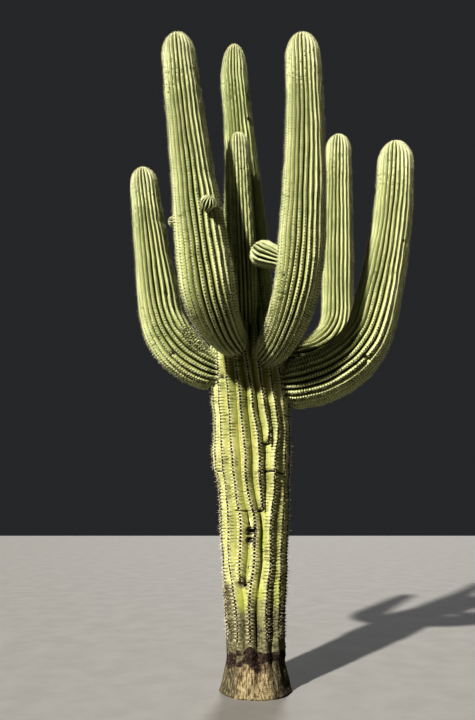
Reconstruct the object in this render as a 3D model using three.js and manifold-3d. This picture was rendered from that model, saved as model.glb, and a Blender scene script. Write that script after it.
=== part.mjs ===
// A mature saguaro cactus rooted in the ground: one ribbed trunk that runs up into its leading stem,
// six upturned arms that leave it in a crowded whorl, a stub arm and two small buds.
// Millimetres and degrees, +Z up. The origin is on the trunk's axis at ground level, -Y is the front
// and +X the right. A bearing turns from +X towards +Y, so the front is at -90.

import * as THREE from "three";
import { mergeVertices } from "three/addons/utils/BufferGeometryUtils.js";
import Module from "manifold-3d";

const wasm = await Module();
wasm.setup();

// Room left between the two halves of an arm, and how far a limb is grown before it is cut out of
// another, which leaves about as much between the sloping faces of their ribs.
const CLEARANCE = 0.3;
const CUT_GROWTH = 0.65;

// The trunk and leading stem, from the flat cut at ground level: height, radius over the ribs, and
// how far the axis stands to the right.
const STEM_STATIONS = [
  [0, 300, 0],
  [110, 276, 0],
  [220, 250, 0],
  [370, 249, 0],
  [700, 265, -2],
  [1100, 288, -4],
  [1500, 306, -8],
  [1800, 339, -20],
  [2280, 356, -28],
  [2650, 364, -50],
  [2860, 349, -60],
  [3080, 296, -61],
  [3330, 250, -62],
  [3740, 230, -73],
  [4160, 207, -84],
  [4520, 182, -97],
  [4860, 167, -116],
  [5230, 151, -143],
  [5750, 141, -185],
];
const STEM_DOME = 430;

// Ribs are numbered to the right from the one that runs up the middle of the front; its bearing
// wanders with height. A rib that starts higher up has its lower end at `births`.
const STEM_RIBS = {
  count: 22,
  depth: 0.12,
  crest: 0.24,
  bearings: [
    [500, -99],
    [1020, -94],
    [1330, -91],
    [1570, -100],
    [1900, -101],
    [2310, -107],
    [3300, -112],
  ],
  births: new Map([
    [11, 1250],
    [1, 1400],
    [15, 1560],
    [6, 1740],
    [2, 1930],
    [17, 2090],
    [13, 2240],
    [9, 2440],
  ]),
  fadesBelow: 420,
};

// Each arm leaves the stem level along its bearing, sags a little, turns up in an elbow whose foot
// stands `reach` from the stem and `rise` above where the arm leaves, and climbs to `top` with a lean
// to the right and to the back. `bow` bellies the climbing part outwards. Radii are over the ribs:
// at the neck, in the elbow, at the elbow's foot, halfway up and below the rounded tip.
const ARMS = [
  {
    name: "left_low_arm", bearing: 186, leaves: 2630, sag: 63, reach: 825, rise: 602, top: 4662,
    leanRight: -213, leanBack: -20, bow: 9,
    radii: { neck: 160, elbow: 216, foot: 202, middle: 167, crown: 138 }, ribs: 22,
  },
  {
    name: "left_tall_arm", bearing: 248, leaves: 2820, sag: 45, reach: 880, rise: 335, top: 5532,
    leanRight: -306, leanBack: -30, bow: 45,
    radii: { neck: 95, elbow: 166, foot: 232, middle: 183, crown: 151 }, ribs: 24,
  },
  {
    name: "right_tall_arm", bearing: 300, leaves: 2720, sag: 85, reach: 868, rise: 785, top: 5562,
    leanRight: 45, leanBack: -60, bow: 67,
    radii: { neck: 100, elbow: 180, foot: 202, middle: 177, crown: 155 }, ribs: 24,
  },
  {
    name: "right_low_arm", bearing: 356, leaves: 2512, sag: 87, reach: 1137, rise: 578, top: 4990,
    leanRight: 338, leanBack: 40, bow: 82,
    radii: { neck: 185, elbow: 245, foot: 219, middle: 194, crown: 178 }, ribs: 24,
  },
  {
    name: "right_back_arm", bearing: 35, leaves: 2780, sag: 50, reach: 1171, rise: 663, top: 5627,
    leanRight: 117, leanBack: 100, bow: -5,
    radii: { neck: 140, elbow: 185, foot: 174, middle: 171, crown: 151 }, ribs: 21,
  },
  {
    name: "front_short_arm", bearing: 266, leaves: 3050, sag: 0, reach: 430, rise: 325, top: 4816,
    leanRight: -53, leanBack: -20, bow: -2,
    radii: { neck: 98, elbow: 106, foot: 109, middle: 101, crown: 95 }, ribs: 17,
  },
];
const ARM_RIB_DEPTH = 0.14;

// Short growths on an arm: rooted on its axis `along` it from the stem, pointing along `bearing` and
// `tilt` above level, and standing `length` out of its surface.
const GROWTHS = [
  {
    name: "stub_arm", on: "right_tall_arm", along: 1183, bearing: 160, tilt: 26, length: 270,
    neck: 92, belly: 125, ribs: 15,
  },
  {
    name: "front_bud", on: "left_tall_arm", along: 1573, bearing: 292, tilt: 14, length: 92,
    neck: 52, belly: 70, ribs: 12,
  },
  {
    name: "side_bud", on: "left_tall_arm", along: 1554, bearing: 173, tilt: 10, length: 58,
    neck: 34, belly: 46, ribs: 11,
  },
];
const GROWTH_RIB_DEPTH = 0.13;
const SWELL = { place: 0.6, girth: 0.75 }; // shares of the way from neck to belly, for the ring between

// A cell of a limb's outline is a groove and the rib after it. A rib that starts higher up begins as
// a narrow cell, rises quickly to full height and widens slowly to a full cell.
const NEWBORN_WIDTH = 0.3; // of a full cell
const RIB_RISE = 110;
const RIB_SPREAD = 420;

const DOME_LENGTH = 1.7; // of the crown's radius
const DOME_POWER = 2.15; // 2 is an ellipse
const DOME_RINGS = [0.45, 0.72, 0.9, 0.985]; // of the dome's length, from its foot to its pole
const ELBOW_RINGS = 7;
const CLIMB_RINGS = 5;
const HANDLE = 0.6; // Bezier handle of the elbow, as a share of its reach and rise
const BEND_PLACE = 0.55; // of the elbow's length, where the elbow's own radius holds
const SPLIT_SLOPE = 45; // an arm is two solids, split where it has turned up this far

const SKIN = { trunk: "#a9ab68", arm: "#a4ad68", growth: "#a3b070" };
const SKIN_ROUGHNESS = 0.8;

const MERGE_DISTANCE = 1e-3; // vertices this near are one

const radians = THREE.MathUtils.degToRad;
const lerp = THREE.MathUtils.lerp;

// The value at x of a smooth curve through stations of [place, value].
function smoothThrough(stations, x) {
  const last = stations.length - 1;
  if (x <= stations[0][0]) return stations[0][1];
  if (x >= stations[last][0]) return stations[last][1];
  const i = stations.findIndex(([place]) => place > x) - 1;
  const slope = (k) => {
    const a = stations[Math.max(0, k - 1)];
    const b = stations[Math.min(last, k + 1)];
    return (b[1] - a[1]) / (b[0] - a[0]);
  };
  const [x0, y0] = stations[i];
  const [x1, y1] = stations[i + 1];
  const run = x1 - x0;
  const t = (x - x0) / run;
  const early = y0 * (1 + 2 * t) * (1 - t) ** 2 + slope(i) * run * t * (1 - t) ** 2;
  const late = y1 * (3 - 2 * t) * t ** 2 - slope(i + 1) * run * t ** 2 * (1 - t);
  return early + late;
}

// The width and height of each cell at a length along a limb, both as shares of a full rib's.
function ribCells({ count, births }, length) {
  return Array.from({ length: count }, (_, rib) => {
    if (!births?.has(rib)) return { width: 1, lift: 1 };
    const grown = length - births.get(rib);
    return {
      width: lerp(NEWBORN_WIDTH, 1, THREE.MathUtils.smoothstep(grown, 0, RIB_SPREAD)),
      lift: THREE.MathUtils.smoothstep(grown, 0, RIB_RISE),
    };
  });
}

// The outline's points at a length along a limb: for each, its bearing and its share of the radius.
// The middle of rib 0 keeps to its own bearing, and the others share what is left of the turn.
function ribOutline(ribs, length) {
  const cells = ribCells(ribs, length);
  const turn = (2 * Math.PI) / cells.reduce((sum, { width }) => sum + width, 0);
  const middle = radians(ribs.bearings ? smoothThrough(ribs.bearings, length) : 0);
  const deep = ribs.depth * (ribs.fadesBelow ? Math.min(1, length / ribs.fadesBelow) : 1);
  const crests = ribs.crest ? [-ribs.crest, ribs.crest] : [0];
  let start = middle - (turn * cells[0].width) / 2;
  return cells.flatMap(({ width, lift }) => {
    const cell = turn * width;
    const from = start;
    start += cell;
    const crest = 1 - deep * (1 - lift);
    return [
      { angle: from, share: 1 - deep },
      ...crests.map((offset) => ({ angle: from + cell * (0.5 + offset), share: crest })),
    ];
  });
}

// How much of its width a rounded tip keeps at a share of its length.
const domeShare = (share) => (1 - share ** DOME_POWER) ** (1 / DOME_POWER);

// One ring of a limb's skin. `across` and `over` span its plane.
function ringPoints({ centre, across, over, radius, length }, ribs, grow) {
  return ribOutline(ribs, length).map(({ angle, share }) => {
    const r = radius * share + grow;
    return centre
      .clone()
      .addScaledVector(across, r * Math.cos(angle))
      .addScaledVector(over, r * Math.sin(angle));
  });
}

// A closed skin over rings of equal point counts, from a flat start to a flat end or to a pole.
function skinOver(rings, startCentre, endCentre) {
  const count = rings[0].length;
  const points = [...rings.flat(), startCentre, endCentre];
  const startIndex = points.length - 2;
  const endIndex = points.length - 1;
  const top = (rings.length - 1) * count;
  const index = [];
  for (let k = 0; k < count; k++) {
    const next = (k + 1) % count;
    index.push(startIndex, next, k);
    for (let row = 0; row < top; row += count) {
      index.push(row + k, row + next, row + count + next);
      index.push(row + k, row + count + next, row + count + k);
    }
    index.push(endIndex, top + k, top + next);
  }
  return new THREE.BufferGeometry().setFromPoints(points).setIndex(index);
}

// A geometry as a solid, and back.
function solidFrom(geometry) {
  const merged = mergeVertices(geometry, MERGE_DISTANCE);
  const mesh = new wasm.Mesh({
    numProp: 3,
    vertProperties: merged.attributes.position.array,
    triVerts: new Uint32Array(merged.index.array),
  });
  return new wasm.Manifold(mesh);
}

function geometryFrom(solid) {
  const mesh = solid.getMesh();
  const geometry = new THREE.BufferGeometry();
  geometry.setAttribute("position", new THREE.BufferAttribute(mesh.vertProperties, 3));
  geometry.setIndex(new THREE.BufferAttribute(mesh.triVerts, 1));
  geometry.computeVertexNormals();
  return geometry;
}

// The solid that is left of one limb where others pass, without the scraps that the cut leaves.
function cutClear(solid, others) {
  const cut = others.reduce((left, other) => left.subtract(other), solid);
  return cut.decompose().sort((a, b) => b.volume() - a.volume())[0];
}

// The stem's axis and radius at a height.
const stemRadius = (z) => smoothThrough(STEM_STATIONS.map(([at, r]) => [at, r]), z);
const stemSide = (z) => smoothThrough(STEM_STATIONS.map(([at, , x]) => [at, x]), z);
const stemAxis = (z) => new THREE.Vector3(stemSide(z), 0, z);

// The trunk and leading stem, from its flat foot to its rounded tip.
function buildStem(grow = 0) {
  const right = new THREE.Vector3(1, 0, 0);
  const back = new THREE.Vector3(0, 1, 0);
  const [shoulder, crown] = STEM_STATIONS.at(-1);
  const ring = (z, radius) =>
    ringPoints({ centre: stemAxis(z), across: right, over: back, radius, length: z }, STEM_RIBS, grow);
  const starts = [...STEM_RIBS.births.values()];
  const heights = [...STEM_STATIONS.map(([z]) => z), ...starts].sort((a, b) => a - b);
  const rings = [...new Set(heights)].map((z) => ring(z, stemRadius(z)));
  for (const share of DOME_RINGS) {
    rings.push(ring(shoulder + STEM_DOME * share, crown * domeShare(share)));
  }
  return skinOver(rings, stemAxis(0), stemAxis(shoulder + STEM_DOME + grow));
}

// The path of an arm's axis, out through its elbow and up, by length from the stem's axis.
function armPath({ bearing, leaves, sag, reach, rise, top, leanRight, leanBack, bow }) {
  const out = new THREE.Vector3(Math.cos(radians(bearing)), Math.sin(radians(bearing)), 0);
  const root = stemAxis(leaves);
  const foot = root.clone().addScaledVector(out, reach).setZ(leaves + rise);
  const tip = new THREE.Vector3(foot.x + leanRight, foot.y + leanBack, top);
  const third = tip.clone().sub(foot).divideScalar(3);
  const lower = foot.clone().add(third).addScaledVector(out, bow);
  const upper = lower.clone().add(third);
  const upwards = lower.clone().sub(foot).normalize();
  const heel = root.clone().addScaledVector(out, reach * HANDLE).setZ(leaves - sag);
  const knee = foot.clone().addScaledVector(upwards, -rise * HANDLE);
  const elbow = new THREE.CubicBezierCurve3(root, heel, knee, foot);
  const climb = new THREE.CubicBezierCurve3(foot, lower, upper, tip);
  const elbowLength = elbow.getLength();
  const climbLength = climb.getLength();
  const at = (length) =>
    length < elbowLength
      ? [elbow, length / elbowLength]
      : [climb, Math.min(1, (length - elbowLength) / climbLength)];
  return {
    elbowLength,
    total: elbowLength + climbLength,
    across: new THREE.Vector3(-out.y, out.x, 0),
    point: (length) => at(length)[0].getPointAt(at(length)[1]),
    heading: (length) => at(length)[0].getTangentAt(at(length)[1]),
  };
}

// The radius over the ribs at a length along an arm, up to the foot of its rounded tip.
function armGirth({ neck, elbow, foot, middle, crown }, { elbowLength, total }) {
  const body = total - DOME_LENGTH * crown;
  const stations = [
    [0, neck],
    [BEND_PLACE * elbowLength, elbow],
    [elbowLength, foot],
    [(elbowLength + body) / 2, middle],
    [body, crown],
  ];
  return { body, radius: (length) => smoothThrough(stations, length) };
}

// Stations along an arm: centre, plane and radius of each ring, with the plane carried along untwisted.
function armStations(arm) {
  const path = armPath(arm);
  const { body, radius } = armGirth(arm.radii, path);
  const dome = path.total - body;
  const elbowStep = path.elbowLength / ELBOW_RINGS;
  const lengths = [
    ...Array.from({ length: ELBOW_RINGS }, (_, i) => i * elbowStep),
    ...Array.from({ length: CLIMB_RINGS + 1 }, (_, i) => lerp(path.elbowLength, body, i / CLIMB_RINGS)),
    ...DOME_RINGS.map((share) => body + dome * share),
  ];
  const side = path.across.clone();
  return lengths.map((length) => {
    const along = path.heading(length);
    side.addScaledVector(along, -side.dot(along)).normalize();
    return {
      length,
      along,
      centre: path.point(length),
      across: side.clone(),
      over: new THREE.Vector3().crossVectors(along, side),
      radius: radius(length) * domeShare(Math.max(0, (length - body) / dome)),
    };
  });
}

// The two solids of an arm: its elbow up to the split, and the rest with a small clearance above it.
function buildArm(arm, grow = 0) {
  const stations = armStations(arm);
  const ribs = { count: arm.ribs, depth: ARM_RIB_DEPTH };
  const ring = (station) => ringPoints(station, ribs, grow);
  const path = armPath(arm);
  const tip = path.point(path.total).addScaledVector(stations.at(-1).along, grow);
  const steep = Math.sin(radians(SPLIT_SLOPE));
  const split = stations.findIndex(({ along }) => along.z > steep);
  const joint = stations[split];
  const above = { ...joint, centre: joint.centre.clone().addScaledVector(joint.along, CLEARANCE) };
  const lower = stations.slice(0, split + 1);
  const upper = [above, ...stations.slice(split + 1)];
  return {
    elbow: skinOver(lower.map(ring), lower[0].centre, joint.centre),
    climb: skinOver(upper.map(ring), above.centre, tip),
  };
}

// A stub or bud: a short ribbed body with a narrow neck, rooted on the axis of the arm it grows on.
function buildGrowth({ along, bearing, tilt, length, neck, belly, ribs }, arm) {
  const path = armPath(arm);
  const surface = armGirth(arm.radii, path).radius(along);
  const level = Math.cos(radians(tilt));
  const heading = new THREE.Vector3(
    level * Math.cos(radians(bearing)),
    level * Math.sin(radians(bearing)),
    Math.sin(radians(tilt)),
  );
  const across = new THREE.Vector3(-heading.y, heading.x, 0).normalize();
  const over = new THREE.Vector3().crossVectors(heading, across);
  const root = path.point(along);
  const place = (distance) => root.clone().addScaledVector(heading, distance);
  const broadest = surface + length - belly;
  const profile = [
    [0, neck],
    [surface, neck],
    [lerp(surface, broadest, SWELL.place), lerp(neck, belly, SWELL.girth)],
    ...[0, ...DOME_RINGS].map((share) => [broadest + belly * share, belly * domeShare(share)]),
  ];
  const rings = profile.map(([distance, radius]) =>
    ringPoints(
      { centre: place(distance), across, over, radius, length: distance },
      { count: ribs, depth: GROWTH_RIB_DEPTH },
      0,
    ));
  return skinOver(rings, root, place(surface + length));
}

// Every solid by its name, each cut clear of the ones it grows out of or passes.
function buildSolids() {
  const solids = new Map([["trunk", solidFrom(buildStem())]]);
  const grownStem = solidFrom(buildStem(CUT_GROWTH));
  const grownElbows = [];
  const grownClimbs = new Map();
  for (const arm of ARMS) {
    const exact = buildArm(arm);
    const grown = buildArm(arm, CUT_GROWTH);
    solids.set(`${arm.name}_elbow`, cutClear(solidFrom(exact.elbow), [grownStem, ...grownElbows]));
    solids.set(arm.name, solidFrom(exact.climb));
    grownElbows.push(solidFrom(grown.elbow));
    grownClimbs.set(arm.name, solidFrom(grown.climb));
  }
  for (const growth of GROWTHS) {
    const whole = solidFrom(buildGrowth(growth, ARMS.find(({ name }) => name === growth.on)));
    solids.set(growth.name, cutClear(whole, [grownClimbs.get(growth.on)]));
  }
  return solids;
}

function skinColour(name) {
  if (name === "trunk") return SKIN.trunk;
  return GROWTHS.some((growth) => growth.name === name) ? SKIN.growth : SKIN.arm;
}

const cactus = new THREE.Group();
cactus.name = "saguaro_cactus";
for (const [name, solid] of buildSolids()) {
  const material = new THREE.MeshStandardMaterial({
    color: skinColour(name),
    roughness: SKIN_ROUGHNESS,
    metalness: 0,
    flatShading: true,
  });
  const mesh = new THREE.Mesh(geometryFrom(solid), material);
  mesh.name = name;
  cactus.add(mesh);
}

export default cactus;
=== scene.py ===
"""Looks of a mature saguaro cactus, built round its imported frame: ribbed skins with corky marks in
place of the plain solids, rows of felt cushions and spines on the ribs, a floor, light and a camera.
Metres and degrees, +Z up, -Y is the front and +X the right. A bearing turns from +X towards +Y."""

import copy
import math

import bpy
import numpy as np
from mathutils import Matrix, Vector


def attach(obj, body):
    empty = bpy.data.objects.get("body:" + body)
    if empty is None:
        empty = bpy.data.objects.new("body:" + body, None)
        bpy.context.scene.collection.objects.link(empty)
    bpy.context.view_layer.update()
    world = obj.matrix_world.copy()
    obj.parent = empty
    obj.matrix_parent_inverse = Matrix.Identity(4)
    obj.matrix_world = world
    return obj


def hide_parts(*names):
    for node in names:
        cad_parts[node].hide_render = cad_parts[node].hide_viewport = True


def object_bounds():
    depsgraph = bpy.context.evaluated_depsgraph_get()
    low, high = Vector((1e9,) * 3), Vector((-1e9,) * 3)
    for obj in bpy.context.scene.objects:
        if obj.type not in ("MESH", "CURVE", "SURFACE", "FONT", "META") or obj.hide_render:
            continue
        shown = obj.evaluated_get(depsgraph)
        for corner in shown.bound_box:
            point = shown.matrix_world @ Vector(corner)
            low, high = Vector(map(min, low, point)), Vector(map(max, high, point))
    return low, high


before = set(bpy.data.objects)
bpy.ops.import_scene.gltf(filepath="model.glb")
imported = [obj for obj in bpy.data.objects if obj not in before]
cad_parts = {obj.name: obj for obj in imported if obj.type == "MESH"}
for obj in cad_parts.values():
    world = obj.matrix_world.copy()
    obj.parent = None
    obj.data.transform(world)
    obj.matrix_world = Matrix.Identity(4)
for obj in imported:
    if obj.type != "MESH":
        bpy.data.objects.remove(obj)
frame_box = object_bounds()

BODY = "root"

# The trunk and leading stem: height, radius over the ribs, and how far the axis stands to the right.
STEM_STATIONS = [
    (0, 0.300, 0),
    (0.110, 0.276, 0),
    (0.220, 0.250, 0),
    (0.370, 0.249, 0),
    (0.700, 0.265, -0.002),
    (1.100, 0.288, -0.004),
    (1.500, 0.306, -0.008),
    (1.800, 0.339, -0.020),
    (2.280, 0.356, -0.028),
    (2.650, 0.364, -0.050),
    (2.860, 0.349, -0.060),
    (3.080, 0.296, -0.061),
    (3.330, 0.250, -0.062),
    (3.740, 0.230, -0.073),
    (4.160, 0.207, -0.084),
    (4.520, 0.182, -0.097),
    (4.860, 0.167, -0.116),
    (5.230, 0.151, -0.143),
    (5.750, 0.141, -0.185),
]
STEM_DOME = 0.430

# Ribs are numbered to the right from the one that runs up the middle of the front; its bearing
# wanders with height. A rib that starts higher up has its lower end at `births`, and a broader one
# has its share of a plain one's width at `broad`. Grooves are `depth` of the radius deep, and get
# shallow below `fades_below`. `profile` is the fall of a rib's flank, see SLIT_POWER.
STEM_RIBS = {
    "count": 22,
    "depth": 0.21,
    "profile": (1.05, 0.20),
    "bearings": [
        (0.45, -101),
        (0.76, -101),
        (0.90, -96),
        (1.05, -93),
        (1.33, -92),
        (1.57, -100),
        (1.90, -101),
        (2.31, -107),
        (3.30, -112),
    ],
    "broad": {3: 1.1},
    "births": {21: 0.83, 11: 1.25, 1: 1.40, 15: 1.56, 6: 1.74, 2: 1.93, 17: 2.09, 13: 2.24, 9: 2.44},
    "fades_below": 0.42,
}

# Each arm leaves the stem level along its bearing, sags a little, turns up in an elbow whose foot
# stands `reach` from the stem and `rise` above where the arm leaves, and climbs to `top` with a lean
# to the right and to the back. `bow` bellies the climbing part outwards. Radii are over the ribs:
# at the neck, in the elbow, at the elbow's foot, halfway up and below the rounded tip. `spines` is
# the piece that its spines are joined into.
ARM_FIELDS = (
    "name", "bearing", "leaves", "sag", "reach", "rise", "top", "lean_right", "lean_back", "bow", "ribs",
    "radii", "spines",
)
ARMS = [dict(zip(ARM_FIELDS, row)) for row in (
    (
        "left_low_arm", 186, 2.630, 0.063, 0.825, 0.602, 4.662, -0.213, -0.020, 0.009, 22,
        (0.160, 0.216, 0.202, 0.167, 0.138), "left_arm_spines",
    ),
    (
        "left_tall_arm", 248, 2.820, 0.045, 0.880, 0.335, 5.532, -0.306, -0.030, 0.045, 24,
        (0.095, 0.166, 0.232, 0.183, 0.151), "left_arm_spines",
    ),
    (
        "right_tall_arm", 300, 2.720, 0.085, 0.868, 0.785, 5.562, 0.045, -0.060, 0.067, 24,
        (0.100, 0.180, 0.202, 0.177, 0.155), "right_arm_spines",
    ),
    (
        "right_low_arm", 356, 2.512, 0.087, 1.137, 0.578, 4.990, 0.338, 0.040, 0.082, 24,
        (0.185, 0.245, 0.219, 0.194, 0.178), "right_arm_spines",
    ),
    (
        "right_back_arm", 35, 2.780, 0.050, 1.171, 0.663, 5.627, 0.117, 0.100, -0.005, 21,
        (0.140, 0.185, 0.174, 0.171, 0.151), "back_arm_spines",
    ),
    (
        "front_short_arm", 266, 3.050, 0, 0.430, 0.325, 4.816, -0.053, -0.020, -0.002, 17,
        (0.098, 0.106, 0.109, 0.101, 0.095), "back_arm_spines",
    ),
)]
ARM_RIBS = {"depth": 0.23, "profile": (1.25, 0.22)}
GROWTH_RIBS = {"depth": 0.26, "profile": (1.0, 0.1)}

# Short growths on an arm: rooted on its axis `along` it from the stem, pointing along `bearing` and
# `tilt` above level, and standing `length` out of its surface. Its radius is `neck` at that surface
# and `belly` where it is broadest, and its rings `turn` up between the two.
GROWTH_FIELDS = ("name", "on", "along", "bearing", "tilt", "length", "neck", "belly", "ribs", "turn")
GROWTHS = [dict(zip(GROWTH_FIELDS, row)) for row in (
    ("stub_arm", "right_tall_arm", 1.183, 160, 26, 0.270, 0.092, 0.125, 15, 20),
    ("front_bud", "left_tall_arm", 1.573, 292, 14, 0.092, 0.052, 0.070, 12, 24),
    ("side_bud", "left_tall_arm", 1.554, 173, 10, 0.058, 0.034, 0.046, 11, 10),
)]
SWELL_PLACE = 0.6  # share of the way from a growth's neck to its belly
SWELL_GIRTH = 0.75

# A rib's profile falls from its crest by a power of the way to the groove, and the given share of its
# depth is a narrow slit there, of this other power.
SLIT_POWER = 9
# Where the points of an outline lie across a rib's cell, from one groove, -1, towards the next, 1.
STEM_PLACES = (-1, -0.9, -0.72, -0.48, -0.22, 0, 0.22, 0.48, 0.72, 0.9)
ARM_PLACES = (-1, -0.86, -0.6, -0.3, 0, 0.3, 0.6, 0.86)

# A rib's cell is a groove and the rib after it. A rib that starts higher up begins as a narrow cell
# that widens slowly, and has a blunt lower end.
NEWBORN_WIDTH = 0.05  # of a full cell
RIB_SPREAD = (-0.15, 0.25)  # before and after its lower end
RIB_RISE = 0.07
# The ribs follow the front one's wandering less and less towards the back: degrees from the front
# between which that fades, and the share that is left.
SWAY_FADE = (80, 150)
BACK_SWAY = 0.3

DOME_LENGTH = 1.7  # of the crown's radius
DOME_POWER = 2.15  # 2 is an ellipse
HANDLE = 0.6  # Bezier handle of the elbow, as a share of its reach and rise
BEND_PLACE = 0.55  # of the elbow's length, where the elbow's own radius holds
AXIS_SAMPLES = 400

SKIN_ROOM = 0.006  # the skin lies this far inside the solid's outline, for the cushions
TIP_ROOM = 0.014  # and its tips this far, for the bristles
PINCH_DEPTH = 0.10  # of an arm's girth, where it meets the trunk
PINCH_REACH = 0.035
JOINT_REACH = 0.42  # how far out of the trunk an arm's ribs look like rope
HIDDEN_START = 0.6  # an arm's skin starts this share of the way out through the trunk

# Rings along a skin: how far apart they stand, and the stretches that have closer ones.
TRUNK_RINGS = [
    (0, 0.44, 0.013), (0.44, 0.80, 0.016), (0.80, 0.86, 0.008), (0.86, 1.14, 0.016),
    (1.14, 1.28, 0.006), (1.28, 1.36, 0.010), (1.36, 1.44, 0.004), (1.44, 1.69, 0.014),
    (1.69, 1.77, 0.005), (1.77, 1.93, 0.012), (1.93, 1.97, 0.005), (1.97, 3.0, 0.027),
    (3.0, 5.14, 0.034), (5.14, 5.26, 0.009), (5.26, STEM_STATIONS[-1][0], 0.034),
]
ARM_RING_STEP = 0.030
ROPE_RING_STEP = 0.0075
ROPE_STRETCH = 0.48
SCAR_RING_STEP = 0.007
SCAR_STRETCH = 0.045
LEAST_STEP = 0.003
DOME_RINGS = 14
BESIDE = 1.15  # of the radius: a place this near to the axis is on the limb
YOUNG_STRETCH = 0.45  # how far below a tip its skin begins to look young
ROPE_RELIEF = 0.0110  # between the cushions of an arm's ribs, near the trunk
ROPE_CRESTS = (0.3, 0.8)  # the ridge heights between which it sets in
ROPE_SLANT = 0.42  # how far its strands lean across half a rib, in cushions

# Slight unevenness of every limb: waves round it, waves a metre along it, height as a share of girth.
UNDULATIONS = [(2, 0.7, 0.008), (3, -1.6, 0.006), (0, 1.9, 0.009), (5, 3.3, 0.003), (0, 5.1, 0.006)]
WANDERS = [(3, 0.9, 0.016), (5, -1.8, 0.009), (2, 3.7, 0.005)]  # the same for the ribs, in radians

RNG = np.random.default_rng(61)


def smooth_through(stations, x):
    """Values at x of a smooth curve through stations of (place, value)."""
    places, values = np.asarray(stations, float).T
    slopes = np.empty_like(values)
    slopes[1:-1] = (values[2:] - values[:-2]) / (places[2:] - places[:-2])
    slopes[0] = (values[1] - values[0]) / (places[1] - places[0])
    slopes[-1] = (values[-1] - values[-2]) / (places[-1] - places[-2])
    x = np.clip(x, places[0], places[-1])
    i = np.clip(np.searchsorted(places, x, side="right") - 1, 0, len(places) - 2)
    run = places[i + 1] - places[i]
    t = (x - places[i]) / run
    early = values[i] * (1 + 2 * t) * (1 - t) ** 2 + slopes[i] * run * t * (1 - t) ** 2
    late = values[i + 1] * (3 - 2 * t) * t**2 - slopes[i + 1] * run * t**2 * (1 - t)
    return early + late


def smoothstep(x, low, high):
    """0 below low, 1 above high and a smooth step between."""
    t = np.clip((x - low) / (high - low), 0, 1)
    return t * t * (3 - 2 * t)


def window(x, low, high, soft):
    """1 between low and high, 0 outside, with soft edges."""
    return smoothstep(x, low - soft, low + soft) * (1 - smoothstep(x, high - soft, high + soft))


def unit(vectors):
    """Vectors at length 1."""
    return vectors / np.linalg.norm(vectors, axis=-1, keepdims=True)


def direction(bearing, tilt=0):
    """Unit vector along a bearing, tilted above level."""
    flat = math.cos(math.radians(tilt))
    turn = math.radians(bearing)
    return np.array([flat * math.cos(turn), flat * math.sin(turn), math.sin(math.radians(tilt))])


def lattice_noise(points, seed):
    """Smooth noise from -1 to 1 at points, with one lattice cell to a unit."""
    size = 48
    table = np.random.default_rng(seed).uniform(-1, 1, (size, size, size))
    base = np.floor(points).astype(int)
    t = points - base
    t = t * t * (3 - 2 * t)
    total = 0
    for corner in np.ndindex(2, 2, 2):
        weight = np.prod(np.where(corner, t, 1 - t), axis=-1)
        place = (base + corner) % size
        total = total + weight * table[place[..., 0], place[..., 1], place[..., 2]]
    return total


class Limb:
    """A limb by length along it: its axis, girth and ribs, and where its skin and its tip begin."""

    def __init__(self, name, axis, girth, ribs, start, body, tip):
        self.name = name
        self.axis = axis
        self.girth = girth
        self.ribs = ribs
        self.start = start
        self.body = body
        self.tip = tip - TIP_ROOM
        self.phases = RNG.uniform(0, 2 * math.pi, len(UNDULATIONS) + len(WANDERS))
        self.rows = None

    def radius(self, lengths):
        share = np.clip((lengths - self.body) / (self.tip - self.body), 0, 1)
        return (self.girth(lengths) - SKIN_ROOM) * (1 - share**DOME_POWER) ** (1 / DOME_POWER)

    def waves(self, table, phases, angles, lengths):
        parts = zip(table, phases)
        return sum(h * np.sin(n * angles + 2 * math.pi * k * lengths + p) for (n, k, h), p in parts)

    def unevenness(self, angles, lengths):
        return self.waves(UNDULATIONS, self.phases, angles, lengths)

    def wander(self, angles, lengths):
        return self.waves(WANDERS, self.phases[len(UNDULATIONS):], angles, lengths)

    def dome_lengths(self, count):
        share = np.sin(np.linspace(0, 0.5 * math.pi, count + 1)[1:-1])
        return self.body + (self.tip - self.body) * share


def stem_side(z):
    return smooth_through([(at, x) for at, _, x in STEM_STATIONS], z)


def stem_radius(z):
    return smooth_through([(at, r) for at, r, _ in STEM_STATIONS], z)


def stem_axis(lengths):
    """Centre, heading and the two directions of the ring plane, at heights up the stem."""
    zero = np.zeros_like(lengths)
    one = zero + 1
    centre = np.stack([stem_side(lengths), zero, lengths], -1)
    across = np.stack([one, zero, zero], -1)
    over = np.stack([zero, one, zero], -1)
    return centre, np.stack([zero, zero, one], -1), across, over


def growth_axis(root, heading, start, end, turn):
    """The axis of a growth, whose rings turn up by `turn` degrees between two lengths along it."""
    across = unit(np.array([-heading[1], heading[0], 0]))
    over = np.cross(heading, across)

    def axis(lengths):
        turned = math.radians(turn) * smoothstep(lengths, start, end)[:, None]
        along = np.cos(turned) * heading + np.sin(turned) * over
        above = np.cos(turned) * over - np.sin(turned) * heading
        beyond = np.maximum(lengths - end, 0)[:, None]
        centre = root + (lengths[:, None] - beyond) * heading + beyond * along
        return centre, along, np.broadcast_to(across, along.shape), above

    return axis


def bezier(controls):
    """Points of a cubic curve."""
    t = np.linspace(0, 1, AXIS_SAMPLES)[:, None]
    a, b, c, d = controls
    return a * (1 - t) ** 3 + 3 * b * t * (1 - t) ** 2 + 3 * c * t**2 * (1 - t) + d * t**3


def run_along(points):
    """Length along a line of points, at each of them."""
    return np.concatenate([[0], np.cumsum(np.linalg.norm(np.diff(points, axis=0), axis=1))])


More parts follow.
